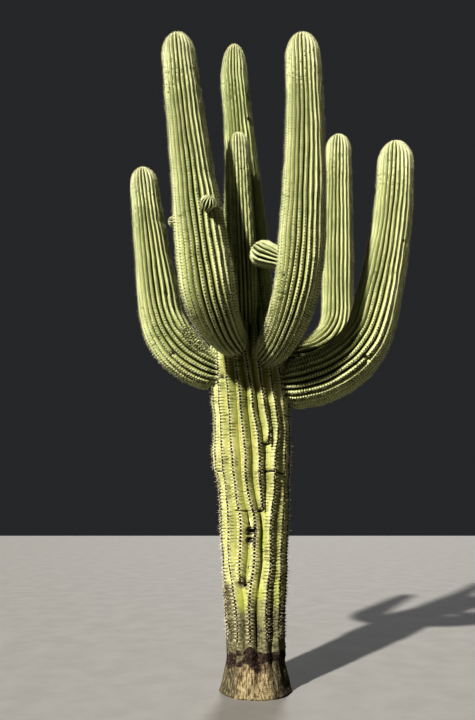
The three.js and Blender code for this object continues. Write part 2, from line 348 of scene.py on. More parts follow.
def curved_axis(points, across):
    """The axis of an arm along a line of points, with its ring plane carried along untwisted."""
    lengths = run_along(points)
    headings = unit(np.gradient(points, lengths, axis=0))
    sides = []
    for heading in headings:
        across = unit(across - np.dot(across, heading) * heading)
        sides.append(across)
    sides = np.array(sides)

    def pick(table, at):
        return np.stack([np.interp(at, lengths, column) for column in table.T], -1)

    def axis(at):
        along = unit(pick(headings, at))
        side = pick(sides, at)
        side = unit(side - np.sum(side * along, -1, keepdims=True) * along)
        return pick(points, at), along, side, np.cross(along, side)

    return axis


def make_stem():
    shoulder = STEM_STATIONS[-1][0]
    return Limb("trunk", stem_axis, stem_radius, STEM_RIBS, 0, shoulder, shoulder + STEM_DOME)


def make_arm(arm):
    """An arm: out level from the stem's axis, up through its elbow, and on to its tip."""
    out = direction(arm["bearing"])
    up = np.array([0, 0, 1])
    leaves = arm["leaves"]
    root = np.array([stem_side(leaves), 0, leaves])
    foot = root + out * arm["reach"] + up * arm["rise"]
    tip = np.array([foot[0] + arm["lean_right"], foot[1] + arm["lean_back"], arm["top"]])
    third = (tip - foot) / 3
    lower = foot + third + out * arm["bow"]
    heel = root + out * arm["reach"] * HANDLE - up * arm["sag"]
    knee = foot - unit(lower - foot) * arm["rise"] * HANDLE
    elbow = bezier([root, heel, knee, foot])
    climb = bezier([foot, lower, lower + third, tip])
    points = np.concatenate([elbow, climb[1:]])
    bend = run_along(elbow)[-1]
    total = run_along(points)[-1]
    neck, girth_bend, girth_foot, girth_middle, crown = arm["radii"]
    body = total - DOME_LENGTH * crown
    stations = [
        (0, neck),
        (BEND_PLACE * bend, girth_bend),
        (bend, girth_foot),
        ((bend + body) / 2, girth_middle),
        (body, crown),
    ]
    return Limb(
        arm["name"],
        curved_axis(points, np.array([-out[1], out[0], 0])),
        lambda lengths: smooth_through(stations, lengths),
        dict(ARM_RIBS, count=arm["ribs"]),
        HIDDEN_START * float(stem_radius(leaves)),
        body,
        total,
    )


def make_growth(growth, arm):
    """A stub or bud, rooted on the axis of the arm that it grows on."""
    along = np.array([growth["along"]])
    skin = float(arm.girth(along)[0])
    root = arm.axis(along)[0][0]
    neck, belly = growth["neck"], growth["belly"]
    broadest = skin + growth["length"] - belly
    middle = skin + SWELL_PLACE * (broadest - skin)
    swelling = neck + SWELL_GIRTH * (belly - neck)
    stations = [(0, neck), (skin, neck), (middle, swelling), (broadest, belly)]
    return Limb(
        growth["name"],
        growth_axis(root, direction(growth["bearing"], growth["tilt"]), skin, broadest, growth["turn"]),
        lambda lengths: smooth_through(stations, lengths),
        dict(GROWTH_RIBS, count=growth["ribs"]),
        HIDDEN_START * skin,
        broadest,
        skin + growth["length"],
    )


def rib_layout(ribs, lengths):
    """Start angle, width and lift of each rib's cell at each length: arrays of (lengths, ribs)."""
    births = np.full(ribs["count"], -np.inf)
    for rib, birth in ribs.get("births", {}).items():
        births[rib] = birth
    grown = lengths[:, None] - births
    widths = NEWBORN_WIDTH + (1 - NEWBORN_WIDTH) * smoothstep(grown, *RIB_SPREAD)
    for rib, share in ribs.get("broad", {}).items():
        widths[:, rib] *= share
    widths *= 2 * math.pi / widths.sum(axis=1, keepdims=True)
    bearings = ribs.get("bearings", [(0, 0), (1, 0)])
    middle = np.radians(smooth_through(bearings, lengths))[:, None]
    rest = math.radians(np.mean([bearing for _, bearing in bearings]))
    before = np.cumsum(widths, axis=1) - widths - widths[:, :1] / 2
    round_front = np.degrees(np.abs((before + math.pi) % (2 * math.pi) - math.pi))
    calm = (1 - BACK_SWAY) * smoothstep(round_front, *SWAY_FADE)
    starts = middle + before - calm * (middle - rest)
    ends = np.concatenate([starts[:, 1:], starts[:, :1] + 2 * math.pi], axis=1)
    return starts, ends - starts, smoothstep(grown, 0, RIB_RISE)


SHAKE = 0.004  # how far the edges of cracks and pits waver
# How dark the cracks are painted, as shade in them.
CRACK_SHADE = 0.65
# Marks on the trunk. Places are degrees to the right of the front, and heights. A crack runs between
# two places and has a depth and half a width.
CRACKS = [
    ((-41, 1.407), (-18, 1.402), 0.012, 0.006),
    ((-18, 1.402), (-3, 1.406), 0.010, 0.005),
    ((0, 1.398), (16, 1.404), 0.018, 0.011),
    ((11.5, 1.395), (11.5, 1.310), 0.016, 0.007),
    ((-17, 1.400), (-13, 1.300), 0.020, 0.008),
    ((-13, 1.300), (-9, 1.250), 0.024, 0.009),
    ((-19, 1.214), (-8, 1.216), 0.012, 0.005),
    ((14, 1.742), (22, 1.725), 0.016, 0.008),
    ((22, 1.725), (41, 1.720), 0.018, 0.010),
    ((41, 1.720), (62, 1.705), 0.014, 0.009),
    ((-82, 1.735), (-58, 1.728), 0.014, 0.008),
    ((10, 1.952), (25, 1.948), 0.014, 0.008),
    ((-70, 2.480), (-46, 2.540), 0.030, 0.014),
    ((-46, 2.540), (-52, 2.610), 0.020, 0.009),
    ((-34, 0.836), (-22, 0.822), 0.016, 0.012),
    ((-22, 0.822), (-8, 0.856), 0.012, 0.009),
    ((-15, 0.800), (-14, 0.640), 0.010, 0.007),
    ((1, 0.620), (1, 0.360), 0.016, 0.008),
    ((34, 1.250), (35, 0.400), 0.022, 0.010),
    ((-14, 1.000), (-13, 0.940), 0.006, 0.005),
    ((150, 1.620), (176, 1.600), 0.011, 0.006),
    ((-150, 1.120), (-126, 1.140), 0.010, 0.006),
    ((98, 1.300), (120, 1.270), 0.010, 0.006),
]
# A pit has its place, its half size round the trunk and upwards, and its depth, and a raised corky lip.
# Inside, a pit is painted dark as shade.
PITS = [
    ((-7.5, 1.245), (0.036, 0.027), 0.055),
    ((-9.5, 1.170), (0.032, 0.023), 0.045),
    ((165, 1.450), (0.020, 0.017), 0.022),
    ((-128, 0.980), (0.016, 0.016), 0.018),
    ((46, 5.215), (0.016, 0.022), 0.014),
    ((60, 5.190), (0.012, 0.020), 0.012),
    ((62, 5.500), (0.014, 0.045), 0.010),
]
LIP_HEIGHT = 0.006
LIP = (1.25, 0.35)  # where it stands and how wide it is, as shares of a pit's size
GREY_RIM = (1.3, 0.4)  # the same of the grey skin round a pit
EDGE_LUMPS = 0.15  # how far lumps push the edges of pits and of corky lumps
# Torn pale strips that stand out of the skin: from, to, height and half width.
STRIPS = [
    ((-12, 1.335), (-7.5, 1.270), 0.016, 0.011),
    ((-5, 1.225), (-7.5, 1.130), 0.010, 0.009),
]
# Broad swellings: place, half size round the trunk and upwards, and height.
SWELLINGS = [
    ((-84, 1.88), (0.16, 0.14), 0.014),
    ((-84, 1.77), (0.14, 0.035), 0.008),
    ((35, 1.80), (0.11, 0.08), 0.012),
    ((-2, 1.46), (0.16, 0.045), 0.007),
    ((20, 2.02), (0.08, 0.06), 0.008),
    ((8, 1.26), (0.024, 0.12), 0.028),
    ((7, 1.02), (0.024, 0.13), 0.028),
    ((3, 0.80), (0.026, 0.11), 0.026),
]
# Where growth paused a limb has a slight waist: heights.
WAISTS = {
    "trunk": (5.545, 5.33, 4.86),
    "left_tall_arm": (5.05, 4.83),
    "right_tall_arm": (4.73,),
    "left_low_arm": (4.05,),
    "right_low_arm": (4.42,),
    "right_back_arm": (4.95,),
}
WAIST_DEPTH = 0.016
WAIST_HALF = 0.030
# On the skin's colours this darkens the waists towards the grooves' painted shade.
WAIST_DIMMING = 0.16  # of the ribs' height there, for the skin's colours
WAIST_TURN = 0.6  # which side of a limb they are deepest on, in radians
WAIST_SIDES = (0.55, 0.45)  # their mean share of that depth, and how much it swings round the limb
WAISTED = 0.1  # of their depth, from which the rings are closer
# Patches of fresher yellow-green on the lower trunk: place, and half size round the trunk and upwards.
FRESH_PATCHES = [
    ((-28, 0.700), (0.050, 0.080)),
    ((3, 0.780), (0.060, 0.060)),
    ((14, 1.200), (0.035, 0.090)),
    ((44, 0.760), (0.030, 0.120)),
]
# Noises on the trunk: cells to a metre, and seed.
TRUNK_NOISES = {
    "coarse": (9, 1),
    "patches": (22, 2),
    "streaks": ((26, 26, 3), 3),
    "grain": ((60, 60, 9), 4),
    "lumps": (55, 5),
    "shake": (30, 6),
}
FLUTES = (1 / 17, 2.5, 7)  # the same of the foot's flutes: to a degree, to a metre, and seed
# Where the old skin is, in heights or in degrees from the front. Three numbers are from, to and softness.
GIRDLE = (0.21, 0.35, 0.02)
GIRDLE_BAND = (0.245, 0.315, 0.012)
BAND_SIDES = (-26, 62, 8)
FOOT_TOP = (0.215, 0.275)
TAN_SIDES = (-34, 30, 10)
GREY_SIDES = (-175, -44, 12)
GREY_TOP = (0.72, 0.90)
GREY_PATCH_SIDES = (-36, -16, 5)
GREY_PATCH = (0.79, 0.86, 0.02)
LOW_GREY_TOP = (0.55, 0.85)
FRESH_STEM = (2.5, 3.1)
RAGGED_COARSE = 0.045  # how far up and down those heights waver
RAGGED_FINE = 0.02
CORK_RELIEF = 0.008
LUMP_RELIEF = 0.010
WOOD_RELIEF = 0.020
GREY_RELIEF = 0.0016
# Dark lumps of the corky girdle: place, and half size round the trunk and upwards.
CORK_LUMPS = [
    ((-14, 0.315), (0.058, 0.048)),
    ((26, 0.295), (0.050, 0.036)),
    ((50, 0.300), (0.046, 0.044)),
    ((100, 0.300), (0.080, 0.050)),
    ((158, 0.280), (0.060, 0.070)),
    ((-120, 0.300), (0.070, 0.055)),
]
LUMP_EDGE = (0.85, 1.1)  # shares of its size between which a lump ends
EDGE_PATCHES = 0.35
# Scars and dents on the arms: place, radius, depth and darkness, which is dark scarred skin together with
# painted shade in the dent. And patches of blocky corky skin.
ARM_SCARS = [
    ((-0.725, -0.959, 4.903), 0.017, 0.008, 1.0),
    ((-0.740, -0.961, 4.853), 0.013, 0.006, 0.9),
    ((-0.487, -0.905, 4.990), 0.050, 0.024, 0.35),
    ((-0.795, -0.242, 3.301), 0.026, 0.020, 0.8),
    ((-0.717, -0.248, 2.749), 0.028, 0.018, 0.7),
    ((1.389, -0.207, 4.705), 0.016, 0.008, 0.9),
    ((0.216, -0.837, 3.243), 0.018, 0.010, 0.8),
    ((0.418, -0.980, 4.740), 0.014, 0.006, 0.7),
    ((0.971, -0.280, 2.705), 0.019, 0.024, 1.0),
    ((1.395, -0.215, 3.840), 0.020, 0.014, 0.8),
]
BLOCKY = [
    ((-0.500, -0.200, 2.860), 0.120),
    ((-0.590, -0.190, 2.920), 0.090),
    ((0.150, -0.500, 2.900), 0.110),
]
BLOCK_RELIEF = 0.007
BLOCK_NOISE = (48, 8)  # cells to a metre, and seed


def from_line(arc, height, start, end):
    """Distance of points on the unrolled trunk from the line between two places on it."""
    start, end = (np.array([math.radians(degrees) * stem_radius(z), z]) for degrees, z in (start, end))
    line = end - start
    run = np.clip(((arc - start[0]) * line[0] + (height - start[1]) * line[1]) / (line @ line), 0, 1)
    return np.hypot(arc - start[0] - run * line[0], height - start[1] - run * line[1])


def from_spot(arc, height, place, half):
    """Distance of points on the unrolled trunk from a place on it, as a share of a half size."""
    degrees, z = place
    return np.hypot((arc - math.radians(degrees) * stem_radius(z)) / half[0], (height - z) / half[1])


def bell(away, power=2):
    """1 where a distance is nothing, falling to 0 round 1."""
    return np.exp(-np.abs(away) ** power)


def ring_round(away, radius, half):
    """1 at a distance, falling to 0 on both sides of it."""
    return bell((away - radius) / half)


def old_skin(front, arc, height, noise):
    """How far the girdle, the foot and the grey skin are raised, and the shares of what is there."""
    coarse, patches, lumps = noise["coarse"], noise["patches"], noise["lumps"]
    ragged = height + RAGGED_COARSE * coarse + RAGGED_FINE * patches
    lumpy = 0
    for place, half in CORK_LUMPS:
        away = from_spot(arc, height, place, half) + EDGE_PATCHES * patches + EDGE_LUMPS * lumps
        lumpy = np.maximum(lumpy, 1 - smoothstep(away, *LUMP_EDGE))
    patchy = window(ragged, *GIRDLE) * (0.25 + 0.45 * smoothstep(patches + coarse, -0.1, 0.5))
    band = 0.9 * window(ragged, *GIRDLE_BAND) * window(front + 8 * coarse, *BAND_SIDES)
    cork = np.maximum(np.maximum(patchy, lumpy), band)
    wood = 1 - smoothstep(ragged, *FOOT_TOP)
    tan = window(front + 8 * patches, *TAN_SIDES)
    side = window(front + 10 * coarse, *GREY_SIDES) * (1 - smoothstep(ragged, *GREY_TOP))
    patch = window(front + 6 * patches, *GREY_PATCH_SIDES) * window(ragged, *GREY_PATCH)
    low = 0.6 + 0.3 * smoothstep(patches + 0.5 * coarse, -0.5, 0.3)
    low = low * (1 - smoothstep(ragged, *LOW_GREY_TOP))
    grey = np.maximum(np.maximum(side, patch), low)

    round_cells, high_cells, seed = FLUTES
    unrolled = np.stack([front * round_cells, np.zeros_like(front), height * high_cells], -1)
    flutes = lattice_noise(unrolled, seed)
    fluted = 0.5 * flutes - 0.25 + 0.35 * noise["streaks"] + 0.15 * noise["grain"]
    raised = CORK_RELIEF * cork * (0.6 * patches + 0.6 * lumps) + LUMP_RELIEF * lumpy
    raised += WOOD_RELIEF * wood * smoothstep(height, -0.05, 0.08) * fluted
    raised += GREY_RELIEF * grey * (lumps + noise["grain"])
    return raised, {"cork": cork, "wood": wood, "grey": grey, "tan": tan}


def trunk_marks(angles, lengths, radius):
    """How far the trunk's marks raise its skin, and the shares of what is there."""
    height = np.broadcast_to(lengths, angles.shape)
    front = (np.degrees(angles) + 270) % 360 - 180
    arc = np.radians(front) * radius
    ring = np.stack([radius * np.cos(angles), radius * np.sin(angles), height], -1)
    noise = {name: lattice_noise(ring * scale, seed) for name, (scale, seed) in TRUNK_NOISES.items()}
    raised, marks = old_skin(front, arc, height, noise)
    shaken = height + SHAKE * noise["shake"]
    scar, torn, vivid = (np.zeros_like(raised) for _ in range(3))
    for start, end, depth, half in CRACKS:
        away = from_line(arc, shaken, start, end) / half
        raised -= depth * bell(away)
        # Painted shade in the crack.
        scar = np.maximum(scar, CRACK_SHADE * bell(away / 1.1))
    for start, end, rise, half in STRIPS:
        strip = bell(from_line(arc, shaken, start, end) / half)
        raised += rise * strip
        torn = np.maximum(torn, strip)
    for place, half, rise in SWELLINGS:
        raised += rise * bell(from_spot(arc, height, place, half))
    for place, half, depth in PITS:
        away = from_spot(arc, shaken, place, half) + EDGE_LUMPS * noise["lumps"]
        raised += LIP_HEIGHT * ring_round(away, *LIP) - depth * bell(away, 4)
        # Painted shade in the pit.
        scar = np.maximum(scar, bell(away, 4))
        marks["grey"] = np.maximum(marks["grey"], ring_round(away, *GREY_RIM))
    for place, half in FRESH_PATCHES:
        vivid = np.maximum(vivid, bell(from_spot(arc, height, place, half), 4))
    marks["grey"] = marks["grey"] * (1 - 0.8 * vivid)
    return raised, dict(marks, scar=scar, torn=torn, vivid=vivid, fresh=smoothstep(height, *FRESH_STEM))


def skin_points(limb, lengths, angles, ridge):
    """Points of a limb's skin and what its material reads there. For each length there is a row of
    angles and of ridge heights, from 0 in a groove to 1 on a crest."""
    ribs = limb.ribs
    centre, _, across, over = limb.axis(lengths)
    column = lengths[:, None]
    deep = ribs["depth"] * np.clip(column / ribs.get("fades_below", 1e-6), 0, 1)
    turned = angles + limb.wander(angles, column)
    radius = limb.radius(lengths)[:, None]
    mean, swing = WAIST_SIDES
    waist = waists(limb, centre[:, 2])[:, None] * (mean + swing * np.sin(angles + WAIST_TURN))
    ridge = ridge * (1 - WAIST_DIMMING * waist)
    r = radius * (1 - deep * (1 - ridge)) * (1 + limb.unevenness(angles, column))
    r = r * (1 - WAIST_DEPTH * waist)
    coats = {"ridge": ridge, "young": np.broadcast_to(limb_youth(limb, column), angles.shape)}
    if limb.name == "trunk":
        raised, marks = trunk_marks(angles, column, radius)
        r = r + raised
        coats.update(marks)
    rim = np.cos(turned)[..., None] * across[:, None] + np.sin(turned)[..., None] * over[:, None]
    if limb.name != "trunk":
        plain = centre[:, None] + r[..., None] * rim
        away = off_trunk(plain)
        raised, marks = arm_marks(plain)
        coats.update(marks, joint=bell(away / JOINT_REACH))
        r = r * (1 - PINCH_DEPTH * bell(away / PINCH_REACH)) + raised
    level = np.broadcast_to(column, angles.shape)
    coats["unbent"] = np.stack([r * np.cos(turned), r * np.sin(turned), level], -1)
    return centre[:, None] + r[..., None] * rim, coats


def waists(limb, heights):
    """From 0 to 1 at the middle of a limb's waists."""
    dips = [bell((heights - at) / WAIST_HALF) for at in WAISTS.get(limb.name, ())]
    return np.max([np.zeros_like(heights), *dips], axis=0)


def off_trunk(points):
    """Distance of points from the trunk's skin."""
    away = np.hypot(points[..., 0] - stem_side(points[..., 2]), points[..., 1])
    return np.abs(away - stem_radius(points[..., 2]))


def spot(points, place, size):
    """1 at a place and falling to 0 a little beyond its size."""
    return bell(np.linalg.norm(points - np.array(place), axis=-1) / size, 4)


def arm_marks(points):
    """How far the arms' marks raise their skin, and the shares of scars, with painted shade in their
    dents, and of blocky cork there.
    """
    raised, scar = 0, np.zeros(points.shape[:-1])
    for place, size, depth, dark in ARM_SCARS:
        hole = spot(points, place, size)
        raised = raised - depth * hole
        # Dark scarred skin and painted shade in the dent.
        scar = np.maximum(scar, dark * hole)
    blocky = 0
    for place, size in BLOCKY:
        blocky = np.maximum(blocky, spot(points, place, size))
    cells, seed = BLOCK_NOISE
    raised = raised + BLOCK_RELIEF * blocky * lattice_noise(points * cells, seed)
    return raised, {"scar": scar, "blocky": blocky}


def limb_youth(limb, lengths):
    """From 0 on old skin to 1 at the growing tip."""
    return smoothstep(lengths, limb.body - YOUNG_STRETCH, limb.tip)


def ring_lengths(limb):
    """Where a limb's rings lie: closer on the trunk's marks, and at an arm's joint, waists and scars."""
    fine = np.arange(limb.start, limb.body, ROPE_RING_STEP)
    if limb.name == "trunk":
        stretches = list(TRUNK_RINGS)
    else:
        rope = min(limb.start + ROPE_STRETCH, limb.body)
        stretches = [(limb.start, rope, ROPE_RING_STEP), (rope, limb.body, ARM_RING_STEP)]
        for place, _, _, _ in ARM_SCARS:
            near = length_beside(limb, fine, place)
            if near:
                stretches.append((near - SCAR_STRETCH, near + SCAR_STRETCH, SCAR_RING_STEP))
    waisted = fine[waists(limb, limb.axis(fine)[0][:, 2]) > WAISTED]
    stretches += [(near, near + ROPE_RING_STEP, ROPE_RING_STEP) for near in waisted]
    rows = [np.arange(low, high - step / 2, step) for low, high, step in stretches]
    rows = np.sort(np.concatenate(rows))
    rows = rows[rows < limb.body]
    rows = rows[np.diff(rows, prepend=rows[0] - 1) > LEAST_STEP]
    return np.concatenate([rows, limb.dome_lengths(DOME_RINGS)])


def length_beside(limb, lengths, place):
    """Which of these lengths is beside a place on the limb's skin, or nothing if it is elsewhere."""
    away = np.linalg.norm(limb.axis(lengths)[0] - np.array(place), axis=-1)
    nearest = np.argmin(away)
    return lengths[nearest] if away[nearest] < BESIDE * limb.radius(lengths)[nearest] else None


def make_object(name, points, faces, smooth=True):
    """A mesh object from an array of points and arrays of faces, each array with its own side count."""
    mesh = bpy.data.meshes.new(name)
    corners = np.concatenate([group.ravel() for group in faces])
    sides = np.concatenate([np.full(len(group), group.shape[1]) for group in faces])
    starts = np.cumsum(sides) - sides
    mesh.vertices.add(len(points))
    mesh.vertices.foreach_set("co", points.astype(np.float32).ravel())
    mesh.loops.add(len(corners))
    mesh.loops.foreach_set("vertex_index", corners.astype(np.int32))
    mesh.polygons.add(len(sides))
    mesh.polygons.foreach_set("loop_start", starts.astype(np.int32))
    mesh.update(calc_edges=True)
    mesh.polygons.foreach_set("use_smooth", np.full(len(sides), smooth))
    obj = bpy.data.objects.new(name, mesh)
    bpy.context.collection.objects.link(obj)
    return obj


def within_frame(points):
    """Points moved into the frame's box where they pass its sides."""
    return np.clip(points, *(np.array(corner) for corner in frame_box))


def add_coat(mesh, name, values):
    """A value or vector at each point, for a material to read."""
    kind, field = ("FLOAT_VECTOR", "vector") if values.shape[-1] == 3 else ("FLOAT", "value")
    layer = mesh.attributes.new(name, kind, "POINT")
    layer.data.foreach_set(field, values.astype(np.float32).ravel())


def close_rings(grid, ends):
    """Points and faces of rings of points, closed by a flat start and a pole at the tip."""
    index = np.arange(grid[..., 0].size).reshape(grid.shape[:2])
    turned = np.roll(index, -1, axis=1)
    quads = np.stack([index[:-1], turned[:-1], turned[1:], index[1:]], -1).reshape(-1, 4)
    foot = np.full(len(index[0]), index.size)
    start_fan = np.stack([foot, turned[0], index[0]], -1)
    end_fan = np.stack([foot + 1, index[-1], turned[-1]], -1)
    return np.concatenate([grid.reshape(-1, 3), ends]), [quads, start_fan, end_fan]


def make_skin(limb):
    """A limb's skin in one closed mesh, with what its material reads."""
    lengths = ring_lengths(limb)
    starts, widths, lifts = rib_layout(limb.ribs, lengths)
    places = np.array(STEM_PLACES if limb.name == "trunk" else ARM_PLACES)
    power, slit = limb.ribs["profile"]
    profile = 1 - (1 - slit) * np.abs(places) ** power - slit * np.abs(places) ** SLIT_POWER
    angles = (starts[..., None] + widths[..., None] * (1 + places) / 2).reshape(len(lengths), -1)
    ridge = (lifts[..., None] * profile).reshape(angles.shape)
    grid, coats = skin_points(limb, lengths, angles, ridge)
    fine, _, counts = limb.rows
    beads = np.stack([np.interp(lengths, fine, column) for column in counts.T], -1)
    lean = ROPE_SLANT * coats.get("joint", 0) * np.tile(places, limb.ribs["count"])
    coats["beads"] = np.repeat(beads, len(places), axis=1) + lean
    if "joint" in coats:
        rim = unit(grid - limb.axis(lengths)[0][:, None])
        rope = coats["joint"] * smoothstep(ridge, *ROPE_CRESTS) * np.sin(math.pi * coats["beads"]) ** 2
        grid = grid + (ROPE_RELIEF * rope)[..., None] * rim
    points, faces = close_rings(grid, limb.axis(np.array([lengths[0], limb.tip]))[0])
    skin = make_object(f"{limb.name}_skin", within_frame(points), faces)
    for name, values in coats.items():
        rows = values.reshape(*angles.shape, -1)
        closing = [rows[0].mean(axis=0), rows[-1].mean(axis=0)]
        add_coat(skin.data, name, np.concatenate([rows.reshape(-1, rows.shape[-1]), closing]))
    return skin


# Spine cushions, by how far apart they stand along a rib, and the bristles on the growing tips.
CUSHION_PITCH = {"trunk": 0.0270}
ARM_CUSHION_PITCH = 0.0262
TIP_PITCH = 0.016
JOINT_PITCH = 0.0235
# Half length, half width and height of a cushion on a trunk, an arm and a growth.
CUSHION_SIZE = {
    "trunk": (0.0120, 0.0105, 0.0075),
    "arm": (0.0070, 0.0070, 0.0056),
    "growth": (0.0040, 0.0040, 0.0034),
}
SLIM_STEM = ((2.4, 3.2), (1, 0.65))  # heights, and the size of the trunk's cushions there
CUSHION_SIDES = 6
CUSHION_SIZES = (0.75, 1.2)
SUNK = 0.3  # share of a cushion's height that its rim is under the skin
CREST_STEP = 0.008
ROW_DOME_RINGS = 24
CROWDING = (-0.12, 0.03)  # along a limb from the foot of its dome: where its cushions get closer
BARE_TIP = 0.8  # of a cushion's pitch
LOWEST_CUSHION = 0.40
ROW_START = 0.03  # above the lower end of a rib
OLD_TRUNK = (0.90, 1.95)  # below the one the trunk's spines are long, and above the other short
SPINES_AS_ARMS = 2.75  # above this height the leading stem has spines like an arm's
NUDGE = 0.004
YOUNG_ROWS = 0.50  # how far below a tip's dome the last of the felt is still pale
SPOILED = 0.35  # share of scar or cork from which a cushion is missing
INSIDE_SAMPLES = 220
INSIDE_SHARE = 0.90  # a cushion this share of the way out in another limb is hidden


def lay_rows(limb):
    """Where a limb's spine cushions fall: at each of many lengths, how many a rib has had by there. The
    count is whole where a cushion sits."""
    pitch = CUSHION_PITCH.get(limb.name, ARM_CUSHION_PITCH)
    body = np.arange(limb.start, limb.body, CREST_STEP)
    fine = np.concatenate([body, limb.dome_lengths(ROW_DOME_RINGS)])
    starts, widths, lifts = rib_layout(limb.ribs, fine)
    middles = starts + widths / 2
    crests, coats = skin_points(limb, fine, middles, lifts)
    apart = pitch + (TIP_PITCH - pitch) * smoothstep(fine - limb.body, *CROWDING)
    apart = apart[:, None] - (pitch - JOINT_PITCH) * coats.get("joint", 0)
    steps = np.linalg.norm(np.diff(crests, axis=0), axis=-1) / (apart + 0 * middles)[1:]
    counts = np.concatenate([np.zeros((1, limb.ribs["count"])), np.cumsum(steps, axis=0)])
    limb.rows = fine, middles, counts + RNG.uniform(0, 1, limb.ribs["count"])


class Cushions:
    """Spine cushions on one limb: place, and unit vectors up the rib, outwards and sideways."""

    def __init__(self, limb, lengths, angles, ridge):
        points, coats = skin_points(limb, lengths, angles[:, None], ridge[:, None])
        middle = points[:, 0]
        ahead = skin_points(limb, lengths + NUDGE, angles[:, None], ridge[:, None])[0][:, 0]
        _, _, across, over = limb.axis(lengths)
        turned = (angles + limb.wander(angles, lengths))[:, None]
        rim = np.cos(turned) * across + np.sin(turned) * over
        self.limb = limb
        self.lengths = lengths
        self.place = middle
        self.up = unit(ahead - middle)
        self.out = unit(rim - np.sum(rim * self.up, -1, keepdims=True) * self.up)
        self.side = np.cross(self.up, self.out)
        marks = [coats[name][:, 0] for name in ("scar", "cork", "wood") if name in coats]
        self.spoiled = np.max(marks, axis=0) if marks else np.zeros_like(lengths)

    def directions(self):
        return self.up[:, None], self.side[:, None], self.out[:, None]

    def keep(self, chosen):
        for name in ("lengths", "place", "up", "out", "side", "spoiled"):
            setattr(self, name, getattr(self, name)[chosen])


def cushion_rows(limb):
    """The cushions along every rib's crest, without the ones that the trunk's marks take."""
    fine, middles, counts = limb.rows
    lengths, angles = [], []
    for rib in range(limb.ribs["count"]):
        rows = counts[:, rib]
        birth = limb.ribs.get("births", {}).get(rib)
        lowest = birth + ROW_START if birth else (LOWEST_CUSHION if limb.name == "trunk" else limb.start)
        wanted = np.arange(math.ceil(np.interp(lowest, fine, rows)), rows[-1] - BARE_TIP)
        lengths.append(np.interp(wanted, rows, fine))
        angles.append(np.interp(wanted, rows, middles[:, rib]))
    lengths, angles = np.concatenate(lengths), np.concatenate(angles)
    cushions = Cushions(limb, lengths, angles, np.ones_like(lengths))
    cushions.keep(cushions.spoiled < SPOILED)
    return cushions


def inside(limb, points):
    """Which points lie well inside a limb."""
    at = np.linspace(limb.start, limb.tip, INSIDE_SAMPLES)
    radii = limb.radius(at) * INSIDE_SHARE
    hit = np.zeros(len(points), bool)
    for centre, radius in zip(limb.axis(at)[0], radii):
        hit |= np.sum((points - centre) ** 2, -1) < radius**2
    return hit


def limb_kind(limb):
    """What sort of limb it is: the trunk, an arm or a growth."""
    if limb.name == "trunk":
        return "trunk"
    return "growth" if limb.name in [growth["name"] for growth in GROWTHS] else "arm"


def make_cones(name, groups, sides, smooth):
    """Open cones joined into one mesh: groups of their points, each the rim's and then the tip."""
    points = within_frame(np.concatenate(groups)).reshape(-1, 3)
    first = np.arange(0, len(points), sides + 1)[:, None]
    faces = [first + [k, (k + 1) % sides, sides] for k in range(sides)]
    return make_object(name, points, [np.concatenate(faces)], smooth)


def make_cushions(name, groups):
    """Felt cushions as low domes, joined into one mesh."""
    turn = np.linspace(0, 2 * math.pi, CUSHION_SIDES, endpoint=False)[:, None]
    points = []
    for cushions in groups:
        half_length, half_width, height = CUSHION_SIZE[limb_kind(cushions.limb)]
        size = RNG.uniform(*CUSHION_SIZES, (len(cushions.place), 1, 1))
        if cushions.limb.name == "trunk":
            size *= np.interp(cushions.lengths, *SLIM_STEM)[:, None, None]
        up, sideways, away = cushions.directions()
        rim = np.cos(turn) * half_length * up + np.sin(turn) * half_width * sideways
        dome = np.concatenate([rim - SUNK * height * away, height * away], axis=1)
        points.append(cushions.place[:, None] + size * dome)
    return make_cones(name, points, CUSHION_SIDES, smooth=True)


# Spines: how many a cushion has, their lengths, how far they rise from the skin and fan from level in
# degrees, how thick they are, how far out on the cushion they stand, and the share of them that
# points away from the skin instead of lying sideways.
SPINES = {
    "foot": (10, (0.026, 0.048), (5, 20), 18, 0.0024, 0.0090, 0.06),
    "old": (11, (0.022, 0.040), (5, 20), 18, 0.0025, 0.0100, 0.06),
    "stem": (9, (0.015, 0.028), (8, 26), 26, 0.0024, 0.0095, 0.08),
    "arm": (6, (0.009, 0.020), (10, 34), 36, 0.0025, 0.0066, 0.28),
    "bud": (7, (0.006, 0.013), (12, 45), 50, 0.0023, 0.0020, 0.12),
}
UPRIGHT = 0.12  # share of spines that lie up or down the rib
BRISTLE_RISE = 34  # more rise on the growing tips
OUTWARD_RISE = 42  # and of the spines that point away from the skin
OUTWARD_LENGTH = 0.3  # and how much longer they are
YOUNG_SPINES = (-0.08, 0.05)  # where they begin, along a limb from the foot of its dome
YOUNG_LENGTH = 0.25  # and how much shorter they are
STEEPNESS = 75  # of the spines that lie up or down the rib
ROOT_HEIGHT = 0.0015
SPINE_SIDES = 3


